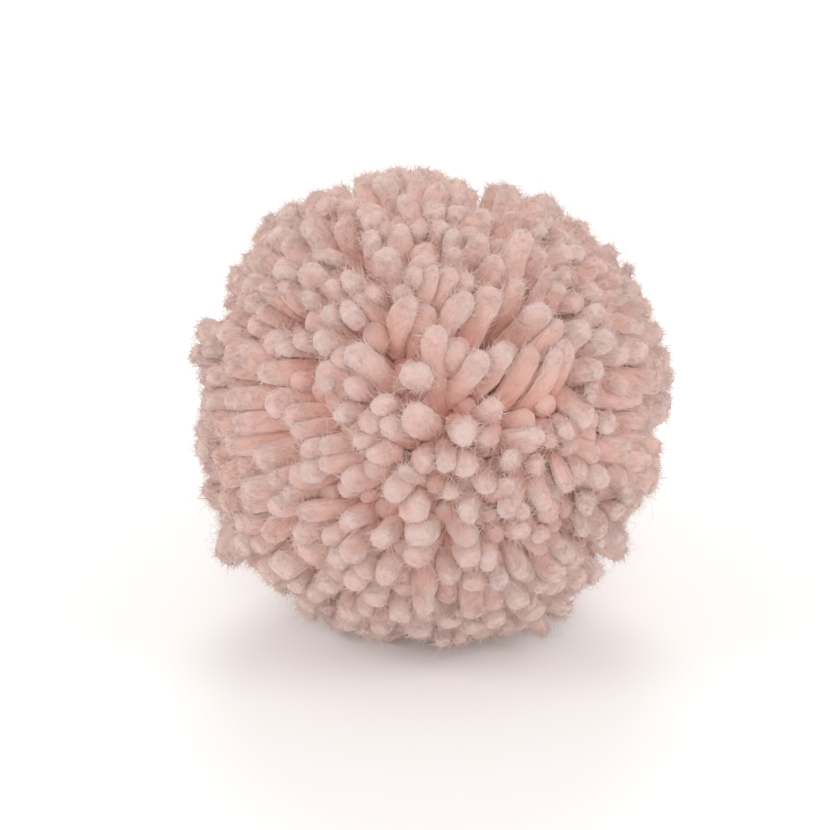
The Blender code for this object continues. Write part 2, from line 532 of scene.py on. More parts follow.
def lean(directions):
    """How far, and which way, strands rooted in these directions lean at their tips."""
    total = np.zeros_like(directions)
    for _, across_0, up_0, across_1, up_1, spread, push in PARTINGS:
        spread = math.radians(spread)
        line = nearest_on_line(directions, on_front(across_0, up_0), on_front(across_1, up_1))
        away = directions - line
        total += math.radians(push) * away / spread * fade(away, spread) * math.sqrt(math.e)
    for _, across, up, spread, lean_across, lean_up in COMBINGS:
        patch = on_front(across, up)
        way = on_front(across + lean_across, up + lean_up) - patch
        total += way * fade(directions - patch, math.radians(spread))
    return LEAN_SHARE * square_to(total, directions)


def clump(directions, rng):
    """Random leaning that gathers neighbouring strands into tufts and parts others."""
    total = np.zeros_like(directions)
    pulls = rng.normal(0.0, CLUMP_PULL, CLUMPS)
    for spot, pull in zip(unit(rng.normal(size=(CLUMPS, 3))), pulls):
        away = directions - spot
        total += pull * away / CLUMP_SPREAD * fade(away, CLUMP_SPREAD) * math.sqrt(math.e)
    return total


def swell(directions):
    """How far the pom pom reaches in each direction, as a share of its radius."""
    reach = np.ones(directions.shape[:-1])
    for _, across, up, spread, rise in SWELLS:
        reach += rise * fade(directions - on_front(across, up), math.radians(spread))[..., 0]
    return reach


# --- strands ---

def lean_like(tips, shown_tips, shown_leans, rng):
    """Leans at some tips: those of the shown strands nearby, or else the pom pom's own flow."""
    gaps = np.linalg.norm(tips[:, None] - shown_tips[None], axis=2)
    nearness = np.exp(-0.5 * (gaps / COPY_SPREAD) ** 2)
    cover = nearness.sum(axis=1, keepdims=True)
    own = lean(tips) + clump(tips, rng)
    return (nearness @ shown_leans + OWN_FLOW * own) / (cover + OWN_FLOW)


def nearest(points, count):
    """Numbers of the points that lie nearest to each point."""
    alike = points @ points.T - 0.5 * np.sum(points ** 2, axis=1)
    np.fill_diagonal(alike, -np.inf)
    return np.argpartition(-alike, count, axis=1)[:, :count]


def share_out(tips, leans, radii, first_free, steps):
    """Move tips apart until none covers the side of another strand that leans below it.

    The first tips are held, and the others keep clear of them before they do of each other.
    """
    for step in range(steps):
        if step % STEPS_TO_RENEW == 0:
            near = nearest(tips, NEIGHBOURS)
            need = TOUCHING * (radii[:, None] + radii[near]) / BALL_RADIUS
            firmness = np.where(near < first_free, HELD_FIRMNESS, 1.0)
        length = np.linalg.norm(leans, axis=1, keepdims=True)
        seen = leans * np.minimum(1.0, LONGEST_VIEW / BALL_RADIUS / np.maximum(length, 1e-6))
        squared = np.maximum(np.sum(seen ** 2, axis=1), 1e-9)
        force = np.zeros_like(tips)
        own = tips[:, None], (tips - seen)[:, None], seen[:, None], squared[:, None]
        other = tips[near], (tips - seen)[near], seen[near], squared[near]
        # first each tip against its neighbours' sides, then its side against their tips
        for (tip, *_), (_, foot, way, square), sign in ((own, other, 1.0), (other, own, -1.0)):
            offsets = tip - foot
            share = np.clip(np.sum(offsets * way, axis=2) / square, 0.0, 1.0)
            gaps = offsets - share[..., None] * way
            distance = np.maximum(np.linalg.norm(gaps, axis=2), 1e-6)
            push = firmness * np.clip(need - distance, 0.0, None) / distance
            force += sign * (gaps * push[..., None]).sum(axis=1)
        tips[first_free:] = unit(tips + SHARE_PUSH * force)[first_free:]
    return tips


def ways_at(tips, leans, lengths, radius):
    """Directions in which the strands pass a sphere of some radius."""
    outer = np.clip((radius - FOOT_RADIUS) / (lengths - FOOT_RADIUS), 0.0, 1.0)
    return unit(tips + (outer ** FOOT_BEND - 1.0)[..., None] * leans)


def strand_radii(shown, rng):
    """Radii of all strands: the shown ones as given, the others by chance and a few of them thin."""
    thin = rng.random(STRANDS) < THIN_SHARE
    chance = rng.lognormal(*WIDTH_CHANCE, STRANDS)
    radii = YARN_RADIUS * np.where(thin, THIN_WIDTH, 1.0) * chance
    radii[:len(shown)] = YARN_RADIUS * shown[:, 4]
    return radii


def long_strands(shown_tips, shown_leans, radii, rng):
    """Tips, leans and lengths of the long strands, spread between the shown ones and hollows."""
    count = len(shown_tips)
    hollows = np.array(HOLLOWS, float)
    held = count + len(hollows)
    hollow_tips = unit(seen_at(hollows[:, 0:2], BALL_RADIUS))
    hollow_radii = hollows[:, 2] * BALL_RADIUS / BALL_RADIUS_PX
    loose_tips = unit(rng.normal(size=(LONG_STRANDS - count, 3)))
    tips = np.concatenate((shown_tips, hollow_tips, loose_tips))
    widths = np.concatenate((radii[:count], hollow_radii, radii[count:LONG_STRANDS]))
    tips = share_out(tips, np.zeros_like(tips), widths * FIRST_ROOM, held, FIRST_STEPS)
    for _ in range(ROUNDS):
        leans = lean_like(tips, shown_tips, shown_leans, np.random.default_rng(SEED))
        leans[:count] = shown_leans
        leans[count:held] = 0.0
        tips = share_out(tips, leans, widths, held, ROUND_STEPS)
    tips = np.delete(tips, np.s_[count:held], axis=0)
    leans = np.delete(leans, np.s_[count:held], axis=0)
    trim = LONGEST_TRIM * rng.random(LONG_STRANDS) ** TRIM_POWER
    trim[:count] *= HELD_TRIM
    return tips, leans, BALL_RADIUS * swell(tips) - trim


def short_strands(inner, shown_tips, shown_leans, radii, rng):
    """Tips, leans and lengths of the short strands, spread between where the long ones pass."""
    inner = np.concatenate((inner, unit(rng.normal(size=(SHORT_STRANDS, 3)))))
    inner = share_out(inner, np.zeros_like(inner), radii, LONG_STRANDS, SHORT_STEPS)
    inner = inner[LONG_STRANDS:]
    likely = lean_like(inner, shown_tips, shown_leans, np.random.default_rng(SEED))
    leans = SHORT_LEAN * likely
    lengths = rng.uniform(SHORTEST_REACH, LONGEST_REACH, SHORT_STRANDS) * swell(inner)
    return unit(inner + 0.5 * leans), leans, lengths


def strand_axes(rng):
    """Axis points of every strand from root to tip, and the strands' radii and lengths."""
    shown = np.array(SHOWN_STRANDS)
    count = len(shown)
    shown_tips = unit(seen_at(shown[:, 0:2], BALL_RADIUS))
    shown_leans = shown_tips - unit(seen_at(shown[:, 2:4], FOOT_RADIUS))
    radii = strand_radii(shown, rng)
    long = long_strands(shown_tips, shown_leans, radii, rng)
    inner = ways_at(*long, FILLED_RADIUS)
    short = short_strands(inner, shown_tips, shown_leans, radii, rng)
    tips, leans, lengths = (np.concatenate(pair) for pair in zip(long, short))
    leans[count:] += rng.normal(0.0, STRAY, (STRANDS - count, 3))

    shares = np.linspace(0.0, 1.0, NODES)
    reach = CORE_RADIUS + (lengths[:, None] - CORE_RADIUS) * shares
    ways = ways_at(tips[:, None], leans[:, None], lengths[:, None], reach)
    sway = rng.normal(0.0, SWAY, (STRANDS, 1, 3)) * np.sin(SWAY_TURN * shares)[None, :, None]
    sway[:count] *= HELD_SWAY
    axes = settle(ways * reach[..., None] + sway, lengths, radii, count)
    return axes, radii, lengths


def settle(axes, lengths, radii, held):
    """Let strands that crowd each other push themselves apart, as packed yarn does."""
    wanted = axes.copy()
    near = nearest(unit(axes[:, NEIGHBOUR_NODE]), NEIGHBOURS)
    yielding = np.ones((STRANDS, 1))
    yielding[:held] = HELD_YIELD
    for _ in range(SETTLE_STEPS):
        for node in range(FIRST_MOVED_NODE, NODES):
            points = axes[:, node]
            radius = np.linalg.norm(points, axis=1, keepdims=True)
            others = points_at_radius(axes, lengths, near, radius)
            gaps = points[:, None] - others
            distance = np.maximum(np.linalg.norm(gaps, axis=2), 1e-6)
            room = PACKING * radius * math.sqrt(4.0 * math.pi / STRANDS)
            need = np.minimum(PACKING * (radii[:, None] + radii[near]), room)
            push = np.clip(need - distance, 0.0, None) / distance
            points = points + SETTLE_PUSH * yielding * (gaps * push[..., None]).sum(axis=1)
            points += SETTLE_RETURN * (wanted[:, node] - points)
            axes[:, node] = unit(points) * radius
        inner = axes[:, 1:-1]
        axes[:, 1:-1] = inner + STRAIGHTENING * (0.5 * (axes[:, :-2] + axes[:, 2:]) - inner)
    return axes


def along_axes(axes, shares):
    """Points of each axis at shares of its way from root to tip, smoothly between its nodes."""
    place = np.clip(shares, 0.0, 1.0) * (NODES - 1)
    index = np.clip(place.astype(int), 0, NODES - 2)
    part = (place - index)[..., None]
    rows = np.arange(len(axes))[:, None]
    before = axes[rows, np.maximum(index - 1, 0)]
    start = axes[rows, index]
    end = axes[rows, index + 1]
    after = axes[rows, np.minimum(index + 2, NODES - 1)]
    slope_0, slope_1 = 0.5 * (end - before), 0.5 * (after - start)
    return (
        (2 * part ** 3 - 3 * part ** 2 + 1) * start + (part ** 3 - 2 * part ** 2 + part) * slope_0
        + (3 * part ** 2 - 2 * part ** 3) * end + (part ** 3 - part ** 2) * slope_1
    )


def frames_along(points):
    """Directions along each path, and two square to it that turn as little as possible."""
    tangents = np.empty_like(points)
    tangents[:, 1:-1] = points[:, 2:] - points[:, :-2]
    tangents[:, 0] = points[:, 1] - points[:, 0]
    tangents[:, -1] = points[:, -1] - points[:, -2]
    tangents = unit(tangents)
    level = np.abs(tangents[:, 0, 2:]) < 0.9
    helper = np.where(level, (0.0, 0.0, 1.0), (1.0, 0.0, 0.0))
    first = np.cross(tangents[:, 0], helper)
    normals = np.empty_like(points)
    for step in range(points.shape[1]):
        way = tangents[:, step]
        first = unit(square_to(first, way))
        normals[:, step] = first
    return tangents, normals, np.cross(tangents, normals)


def points_at_radius(axes, lengths, strand, radius):
    """Where strands pass spheres about the middle of the ball; short ones give their tips."""
    level = np.clip((radius - CORE_RADIUS) / (lengths[strand] - CORE_RADIUS), 0.0, 1.0)
    place = level * (NODES - 1)
    index = np.clip(place.astype(int), 0, NODES - 2)
    part = (place - index)[..., None]
    return axes[strand, index] * (1.0 - part) + axes[strand, index + 1] * part


class Yarn:
    """All strands, with their surfaces ready to be meshed and to grow fibres from."""

    def __init__(self, rng):
        self.axes, self.radii, self.lengths = strand_axes(rng)
        self.scale = (self.lengths - CORE_RADIUS) / RING_PLACES[0]
        self.from_tip = RING_PLACES * self.scale[:, None]
        shares = 1.0 - self.from_tip / (self.lengths - CORE_RADIUS)[:, None]
        self.points = along_axes(self.axes, shares)
        self.tangents, self.normals, self.sides = frames_along(self.points)
        self.shades = rng.random(STRANDS)
        angle = np.arange(SIDES) * (2.0 * math.pi / SIDES)
        self.around = turned(angle, self.normals[:, :, None], self.sides[:, :, None])
        self.shape = self.packed(self.free_shape(angle, rng))

    def free_shape(self, angle, rng):
        """Radii of strands that nothing presses: strands x rings x sides."""
        radii = self.radii[:, None, None] * BULGE * RING_WIDTHS[:, None]
        total = np.ones((STRANDS, len(RINGS), SIDES))
        phases = rng.uniform(0.0, 2.0 * math.pi, (len(LUMPS), STRANDS, 1, 1))
        for (height, turns, pitch), phase in zip(LUMPS, phases):
            turned = turns * angle + 2.0 * math.pi * pitch * self.from_tip[..., None]
            total += height * np.cos(turned + phase)
        return radii * total

    def packed(self, free):
        """The same radii where neighbours press the strands flat against each other."""
        near = nearest(unit(self.axes[:, NEIGHBOUR_NODE]), NEIGHBOURS)[:, None]
        radius = np.linalg.norm(self.points, axis=2)[..., None]
        others = points_at_radius(self.axes, self.lengths, near, radius)
        tangents = self.tangents[:, :, None]
        gaps = square_to(others - self.points[:, :, None], tangents)
        distance = np.linalg.norm(gaps, axis=3)
        own = self.radii[:, None, None]
        half = distance * own / (own + self.radii[near])
        half = OVERLAP * half + np.clip(radius - self.lengths[near], 0.0, None)
        facing = np.einsum("srad,srkd->srak", self.around, unit(gaps))
        limits = np.maximum(half[:, :, None] / np.clip(facing, LEAST_COSINE, None), 1e-9)
        squeezed = (free ** -PRESS + np.sum(limits ** -PRESS, axis=3)) ** (-1.0 / PRESS)
        outward = unit(square_to(unit(self.points)[:, :, None], tangents))
        rise = np.clip(np.sum(self.around * outward, axis=3), LEAST_COSINE, None)
        lid = FLATNESS * free / BULGE / rise
        squeezed = (squeezed ** -LID_PRESS + lid ** -LID_PRESS) ** (-1.0 / LID_PRESS)
        squeezed = np.maximum(squeezed, THINNEST * free)
        # How far each place is pressed in; it later adds painted shade where strands touch
        self.pressed = 1.0 - squeezed / free
        return squeezed

    def surface(self, chosen):
        """Points round the chosen strands at their rings, strands x rings x sides x 3."""
        middles = self.points[chosen][:, :, None]
        offsets = self.shape[chosen][..., None] * self.around[chosen]
        slant = self.slant(offsets, unit(middles), self.from_tip[chosen][..., None])
        return middles + offsets + slant * self.tangents[chosen][:, :, None]

    def slant(self, offsets, outward, from_tip):
        """How far a place beside a strand moves along it, as the cuts follow the ball."""
        rise = np.sum(offsets * outward, axis=-1, keepdims=True)
        return -CUT_SLANT * rise * np.exp(-from_tip / CUT_DEPTH)[..., None]

    def outward_angle(self, strand):
        """The angle round each chosen strand of the side that faces out of the ball."""
        outward = unit(self.axes[strand, -1])
        return self.angle_towards(outward, strand, FLANK_RING)

    def angle_towards(self, way, strand, ring):
        """The angle round each chosen strand, at one of its rings, of a direction."""
        right = np.sum(way * self.sides[strand, ring], axis=1)
        return np.arctan2(right, np.sum(way * self.normals[strand, ring], axis=1))

    def beside(self, strand, from_tip, angle, stand_off):
        """Points beside chosen strands, past their tips too; arguments share one shape."""
        grid = RING_PLACES[::-1]
        depth = np.clip(from_tip / self.scale[strand], grid[0], grid[-1])
        index = np.clip(np.searchsorted(grid, depth) - 1, 0, len(grid) - 2)
        part = (depth - grid[index]) / (grid[index + 1] - grid[index])
        outer, inner = len(grid) - 1 - index, len(grid) - 2 - index
        turn = np.mod(angle / (2.0 * math.pi), 1.0) * SIDES
        side = turn.astype(int) % SIDES
        turn = turn - np.floor(turn)

        def vector(values):
            """Vectors at the two rings, mixed for the place between them."""
            share = part[..., None]
            return values[strand, outer] * (1.0 - share) + values[strand, inner] * share

        def width(side):
            """Radii of a side at the two rings, mixed for the place between them."""
            shape = self.shape
            return shape[strand, outer, side] * (1.0 - part) + shape[strand, inner, side] * part

        beyond = np.clip(-from_tip, 0.0, None)
        radius = width(side) * (1.0 - turn) + width((side + 1) % SIDES) * turn
        radius = radius * (1.0 - PAST_TAPER * np.clip(beyond / PAST_LENGTH, 0.0, 1.0)) + stand_off
        tangents, points = vector(self.tangents), vector(self.points)
        offsets = radius[..., None] * turned(angle, vector(self.normals), vector(self.sides))
        slant = self.slant(offsets, unit(points), np.clip(from_tip, 0.0, None))
        return points + offsets + (beyond[..., None] + slant) * tangents


# --- meshes ---

def tube_faces(count, rings, sides):
    """Faces of many closed tubes, each of rings of corners, then a root and a tip corner.

    Also gives each face corner's place round the tube and along it, both from nought to one.
    """
    ring = np.arange(rings - 1)[:, None]
    side = np.arange(sides)[None]
    after = side + 1

    def corner(ring, side):
        """Number of a corner, and its place round and along the tube."""
        number = ring * sides + side % sides
        return np.stack(np.broadcast_arrays(number, side / sides, (ring + 1) / (rings + 1)), -1)

    low, low_after = corner(ring, side), corner(ring, after)
    high, high_after = corner(ring + 1, side), corner(ring + 1, after)
    first, first_after = corner(0, side)[0], corner(0, after)[0]
    last, last_after = corner(rings - 1, side)[0], corner(rings - 1, after)[0]
    middle = (side[0] + 0.5) / sides
    root = np.stack(np.broadcast_arrays(float(rings * sides), middle, 0.0), -1)
    tip = np.stack(np.broadcast_arrays(float(rings * sides + 1), middle, 1.0), -1)
    faces = np.concatenate((
        np.stack((low, low_after, high_after), 2).reshape(-1, 3, 3),
        np.stack((low, high_after, high), 2).reshape(-1, 3, 3),
        np.stack((last, last_after, tip), 1),
        np.stack((first_after, first, root), 1) if sides > 3 else first[None, ::-1],
    ))
    starts = (np.arange(count) * (rings * sides + 2))[:, None, None]
    numbers = faces[None, ..., 0].astype(np.int64) + starts
    return numbers.reshape(-1, 3), faces[..., 1:]


def atlas(count, places):
    """Where every face corner of every tube lies in a square picture, one cell for each tube."""
    across = math.ceil(math.sqrt(count))
    cell = np.stack((np.arange(count) % across, np.arange(count) // across), -1)
    return (cell[:, None, None] + CELL_MARGIN + (1.0 - 2.0 * CELL_MARGIN) * places[None]) / across


def soften(mesh, corners):
    """Turn the normals towards the outside of the ball, because loose wool shades evenly."""
    own = np.empty(len(mesh.vertices) * 3, dtype=np.float32)
    mesh.vertex_normals.foreach_get("vector", own)
    outward = unit(corners - CENTRE)
    soft = unit((1.0 - EVENNESS) * own.reshape(-1, 3) + EVENNESS * outward)
    mesh.normals_split_custom_set_from_vertices(soft)


def placed(name, thing):
    """A new object in the scene for a mesh, lamp or camera."""
    made = bpy.data.objects.new(name, thing)
    bpy.context.scene.collection.objects.link(made)
    return made


def closed(tubes, roots, tips):
    """Corners of tubes of rings x sides x 3, followed by their root and tip corners."""
    rows = tubes.reshape(len(tubes), -1, 3)
    return np.concatenate((rows, roots[:, None], tips[:, None]), axis=1)


def add_tubes(name, corners, rings, sides, depth, shades, grain, material):
    """One mesh object of many closed tubes, from their corners about the middle of the ball."""
    corners = corners + CENTRE
    corners[..., 2] = np.maximum(corners[..., 2], 0.0)
    triangles, places = tube_faces(len(corners), rings, sides)
    mesh = bpy.data.meshes.new(name)
    mesh.vertices.add(corners.shape[0] * corners.shape[1])
    mesh.vertices.foreach_set("co", corners.astype(np.float32).ravel())
    mesh.loops.add(triangles.size)
    mesh.loops.foreach_set("vertex_index", triangles.astype(np.int32).ravel())
    mesh.polygons.add(len(triangles))
    mesh.polygons.foreach_set("loop_start", np.arange(0, triangles.size, 3, dtype=np.int32))
    mesh.update(calc_edges=True)
    mesh.shade_smooth()
    soften(mesh, corners.reshape(-1, 3))
    picture = mesh.uv_layers.new(name="OFBake")
    picture.uv.foreach_set("vector", atlas(len(corners), places).astype(np.float32).ravel())
    shades = np.repeat(shades[:, None], corners.shape[1], axis=1)
    for key, kind, field, values in (
        ("depth", "FLOAT", "value", depth),
        ("shade", "FLOAT", "value", shades),
        ("grain", "FLOAT_VECTOR", "vector", grain),
    ):
        layer = mesh.attributes.new(key, kind, "POINT")
        layer.data.foreach_set(field, values.astype(np.float32).ravel())
    mesh.materials.append(material)
    piece = placed(name, mesh)
    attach(piece, "root")
    return piece


def with_ends(values, sides):
    """Values at the rings, repeated for the corners of each ring and for the two end corners."""
    return np.concatenate((np.repeat(values, sides, axis=1), values[:, :1], values[:, -1:]), axis=1)


def add_strands(yarn, chosen, name, material):
    """Mesh of the chosen strands."""
    tube = yarn.surface(chosen)
    tips = yarn.axes[chosen, -1]
    corners = closed(tube, yarn.points[chosen, 0], tips)
    # Depth below the surface, plus pressing: it sets the painted shade, darker and redder deep down
    # and where strands touch
    depth = BALL_RADIUS * swell(unit(tips))[:, None, None] - np.linalg.norm(tube, axis=3)
    depth = np.clip(depth, 0.0, None) + PRESSED_SHADE_DEPTH * yarn.pressed[chosen]
    depth = depth.reshape(len(tube), -1)
    depth = np.concatenate((depth, depth[:, :1], 0.0 * depth[:, :1]), axis=1)
    offsets = corners - with_ends(yarn.points[chosen], SIDES)
    shades = yarn.shades[chosen]
    grain = np.stack((
        np.sum(offsets * with_ends(yarn.normals[chosen], SIDES), axis=2) + shades[:, None],
        np.sum(offsets * with_ends(yarn.sides[chosen], SIDES), axis=2),
        with_ends(yarn.from_tip[chosen], SIDES),
    ), axis=-1)
    piece = add_tubes(name, corners, len(RINGS), SIDES, depth, shades, grain, material)
    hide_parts("pompom")


def depth_below(points):
    """How far points lie below the outer surface of the pom pom."""
    reach = BALL_RADIUS * swell(unit(points))
    return np.clip(reach - np.linalg.norm(points, axis=-1), 0.0, None)


def add_fibre_tubes(name, path, thickness, shades, material):
    """Mesh of many fine fibres along paths, each tapering to a point."""
    tangents, normals, sides = frames_along(path)
    share = np.linspace(0.0, 1.0, path.shape[1])[:-1]
    girth = 0.5 * thickness * (1.0 - FIBRE_TAPER * share)[None, :, None, None]
    turn = np.arange(FIBRE_SIDES) * (2.0 * math.pi / FIBRE_SIDES)
    tube = path[:, :-1, None] + girth * turned(turn, normals[:, :-1, None], sides[:, :-1, None])
    # Depth below the surface sets the same painted shade on the fibres as on the strands
    depth = with_ends(depth_below(path[:, :-1]), FIBRE_SIDES)
    grain = np.stack((shades[:, None] + 0.0 * depth, 0.0 * depth, depth), axis=-1)
    corners = closed(tube, path[:, 0], path[:, -1])
    add_tubes(name, corners, len(share), FIBRE_SIDES, depth, shades, grain, material)


def curls(count, steps, size, rng):
    """Soft random waves for many paths, with nothing at their start."""
    share = np.linspace(0.0, 1.0, steps)[None, :, None]
    phase = rng.uniform(0.0, 2.0 * math.pi, (count, 1, 3))
    pitch = rng.uniform(*CURL_WAVES, (count, 1, 3))
    wave = np.sin(pitch * share + phase) - np.sin(phase)
    return wave * size * rng.lognormal(0.0, 0.5, (count, 1, 1))


def add_fibres(yarn, row, rng, material):
    """One kind of loose fibre all over the pom pom."""
    name, count, thickness, shortest, longest, deepest, slope, stand_off, curl, rings = row
    strand = rng.integers(0, WOOLLY_STRANDS, (count, 1))
    length = rng.uniform(shortest, longest, (count, 1))
    start = FIBRE_SHALLOWEST + deepest * rng.random((count, 1)) ** TIPWARD
    angle = yarn.outward_angle(strand[:, 0])[:, None] + rng.normal(0.0, FIBRE_TURN, (count, 1))
    slant = np.radians(rng.normal(0.0, slope, (count, 1)))
    rise = stand_off * rng.lognormal(*FIBRE_RISE_CHANCE, (count, 1))
    share = np.linspace(0.0, 1.0, rings + 1)[None]
    from_tip = start - length * share * np.cos(slant)
    angles = angle + length * share * np.sin(slant) / yarn.radii[strand]
    strands = np.repeat(strand, rings + 1, axis=1)
    path = yarn.beside(strands, from_tip, angles, rise * share ** 1.1 - 0.3 * thickness)
    path = path + curls(count, rings + 1, curl, rng) * share[..., None]
    add_fibre_tubes(name, path, thickness, rng.random(count), material)


def add_ends(yarn, rng, material):
    """Cut fibres that stand in all directions on the ends of the strands."""
    strand = rng.integers(0, LONG_STRANDS, ENDS)
    side = rng.integers(0, SIDES, ENDS)
    place = np.sqrt(rng.random((ENDS, 1)))
    normal, across, tangent = (
        vectors[strand, -1] for vectors in (yarn.normals, yarn.sides, yarn.tangents)
    )
    radius = 0.9 * place * yarn.shape[strand, END_RING, side][:, None]
    offset = radius * yarn.around[strand, END_RING, side]
    tip = yarn.axes[strand, -1]
    level = yarn.slant(offset, unit(tip), np.zeros(ENDS)) - END_DOME * place ** 2
    start = tip + offset + level * tangent
    way = turned(rng.uniform(0.0, 2.0 * math.pi, ENDS), normal, across)
    rise = rng.normal(END_RISE, END_RISE_SPREAD, (ENDS, 1))
    way = unit(way + rise * tangent + END_SPREAD * offset / YARN_RADIUS)
    length = rng.uniform(END_SHORTEST, END_LONGEST, (ENDS, 1, 1))
    path = start[:, None] + np.array((0.0, 1.0))[None, :, None] * length * way[:, None]
    add_fibre_tubes("ends", path, END_THICKNESS, rng.random(ENDS), material)


def add_veil(yarn, rng, material):
    """Long loose fibres that lie across several strands, and stand up a little here and there."""
    strand = rng.integers(0, LONG_STRANDS, (VEIL, 1))
    from_tip = VEIL_DEPTH * rng.random((VEIL, 1)) ** TIPWARD
    angle = yarn.outward_angle(strand[:, 0])[:, None]
    angle = angle + rng.normal(0.0, VEIL_TURN, (VEIL, 1))
    start = yarn.beside(strand, from_tip, angle, 0.0 * angle)[:, 0]
    way = rng.normal(size=(VEIL, 3)) + VEIL_ALONG * yarn.tangents[strand[:, 0], FLANK_RING]
    out = unit(start)
    way = unit(square_to(way, out))
    length = rng.uniform(VEIL_SHORTEST, VEIL_LONGEST, (VEIL, 1, 1))
    share = np.linspace(0.0, 1.0, VEIL_RINGS + 1)[None, :, None]
    path = start[:, None] + share * length * way[:, None]
    rise = rng.lognormal(*VEIL_RISE_CHANCE, (VEIL, 1, 1)) * np.sin(0.8 * math.pi * share)
    radius = np.linalg.norm(start, axis=1)[:, None, None] + rise
    path = unit(path) * radius + curls(VEIL, VEIL_RINGS + 1, VEIL_CURL, rng) * share ** 0.5
    add_fibre_tubes("veil", path, VEIL_THICKNESS, rng.random(VEIL), material)


def add_bridges(yarn, rng, material):
    """Fibres that cross the gaps between neighbouring strands."""
    tips = yarn.axes[:, -1]
    first = rng.integers(0, STRANDS, BRIDGES)
    distance = np.linalg.norm(tips[first][:, None] - tips[None], axis=2)
    distance = distance + rng.uniform(0.0, 0.003, distance.shape)
    distance[np.arange(BRIDGES), first] = 1.0
    second = np.argsort(distance, axis=1)[np.arange(BRIDGES), rng.integers(0, 4, BRIDGES)]
    deep = BRIDGE_SHALLOWEST + BRIDGE_DEPTH * rng.random((BRIDGES, 1)) ** TIPWARD
    ends = []
    for strand, other in ((first, second), (second, first)):
        from_tip = np.clip(deep + rng.normal(0.0, 0.0015, deep.shape), 0.0006, 0.016)
        towards = unit(tips[other] - tips[strand])
        angle = yarn.angle_towards(towards, strand, BRIDGE_RING)[:, None]
        angle = angle + rng.normal(0.0, BRIDGE_TURN, (BRIDGES, 1))
        ends.append(yarn.beside(strand[:, None], from_tip, angle, 0.0 * angle)[:, 0])
    share = np.linspace(0.0, 1.0, BRIDGE_RINGS + 1)[None, :, None]
    path = ends[0][:, None] * (1.0 - share) + ends[1][:, None] * share
    path = path + curls(BRIDGES, BRIDGE_RINGS + 1, BRIDGE_CURL, rng) * np.sin(math.pi * share)
    near = np.linalg.norm(ends[0] - ends[1], axis=1) < BRIDGE_REACH
    add_fibre_tubes("bridges", path[near], BRIDGE_THICKNESS, rng.random(near.sum()), material)


# --- materials ---

def attribute(tree, name, output):
    """An output of a mesh attribute."""
    made = tree.nodes.new("ShaderNodeAttribute")
    made.attribute_name = name
    return made.outputs[output]


def number(tree, operation, first, second):
    """The result of simple arithmetic on sockets or plain numbers."""
    made = tree.nodes.new("ShaderNodeMath")
    made.operation = operation
    for value, socket in zip((first, second), made.inputs):
        if isinstance(value, bpy.types.NodeSocket):
            tree.links.new(value, socket)
        else:
            socket.default_value = value
    return made.outputs["Value"]


def noise(tree, vector, scale, detail):
    """Soft noise over a vector that is first stretched by a scale for each axis."""
    stretched = tree.nodes.new("ShaderNodeVectorMath")
    stretched.operation = "MULTIPLY"
    tree.links.new(vector, stretched.inputs[0])
    stretched.inputs[1].default_value = scale
    made = tree.nodes.new("ShaderNodeTexNoise")
    made.inputs["Scale"].default_value = 1.0
    made.inputs["Detail"].default_value = detail
    tree.links.new(stretched.outputs["Vector"], made.inputs["Vector"])
    return made.outputs["Fac"]


def ramp(tree, factor, stops):
    """A colour ramp through stops of place and colour."""
    made = tree.nodes.new("ShaderNodeValToRGB")
    elements = made.color_ramp.elements
    while len(elements) < len(stops):
        elements.new(0.5)
    for element, (place, colour) in zip(elements, stops):
        element.position = place
        element.color = (*colour, 1.0)
    tree.links.new(factor, made.inputs["Fac"])
    return made.outputs["Color"]


def wool_material(name, bump):
    """Matt wool: pale and dusty at the tips, streaked along the strand, darker and redder deep down
    as painted shade.
    """
    material = bpy.data.materials.new(name)
    material.use_nodes = True
    tree = material.node_tree
    shader = tree.nodes["Principled BSDF"]
    grain = attribute(tree, "grain", "Vector")
    streaks = noise(tree, grain, STREAK_SCALE, 3.0)
    mottle = noise(tree, grain, MOTTLE_SCALE, 2.0)
    # Painted shade: the deeper a place lies, or the harder it is pressed, the darker and redder its
    # colour
    place = number(tree, "DIVIDE", attribute(tree, "depth", "Fac"), FULL_SHADE_DEPTH)
    shade = attribute(tree, "shade", "Fac")
    for value, share in ((mottle, MOTTLE_SHARE), (streaks, STREAK_SHARE), (shade, SHADE_SHARE)):
        place = number(tree, "ADD", place, number(tree, "MULTIPLY", value, share))
    place = number(tree, "SUBTRACT", place, RAMP_START)
    stops = ((0.0, PALE_COLOUR), (MIDDLE_PLACE, MIDDLE_SHADE_COLOUR), (1.0, DEEP_SHADE_COLOUR))
    tree.links.new(ramp(tree, place, stops), shader.inputs["Base Color"])
    if bump:
        made = tree.nodes.new("ShaderNodeBump")
        made.inputs["Strength"].default_value = BUMP_STRENGTH
        made.inputs["Distance"].default_value = BUMP_HEIGHT
        tree.links.new(streaks, made.inputs["Height"])
        tree.links.new(made.outputs["Normal"], shader.inputs["Normal"])
    shader.inputs["Roughness"].default_value = ROUGHNESS
    shader.inputs["Specular IOR Level"].default_value = SPECULAR
    shader.inputs["Sheen Weight"].default_value = SHEEN
    shader.inputs["Sheen Roughness"].default_value = SHEEN_ROUGHNESS
    shader.inputs["Sheen Tint"].default_value = (*SHEEN_COLOUR, 1.0)
    return material


# --- studio ---

def aim(thing, target):
    """Turn a light or camera so that it looks at a point."""
    way = Vector(target) - thing.location
    thing.rotation_mode = "QUATERNION"
    thing.rotation_quaternion = way.to_track_quat("-Z", "Y")


def add_sun(name, across, up, strength):
    """A broad, far lamp that shines from a direction given in degrees round and up."""
    lamp = bpy.data.lights.new(name, "SUN")
    lamp.energy = strength
    lamp.angle = SUN_WIDTH
    lamp.color = SUN_COLOUR
    thing = placed(name, lamp)
    across, up = math.radians(across), math.radians(up)
    thing.location = (
        math.sin(across) * math.cos(up),
        -math.cos(across) * math.cos(up),
        math.sin(up),
    )
    aim(thing, (0.0, 0.0, 0.0))


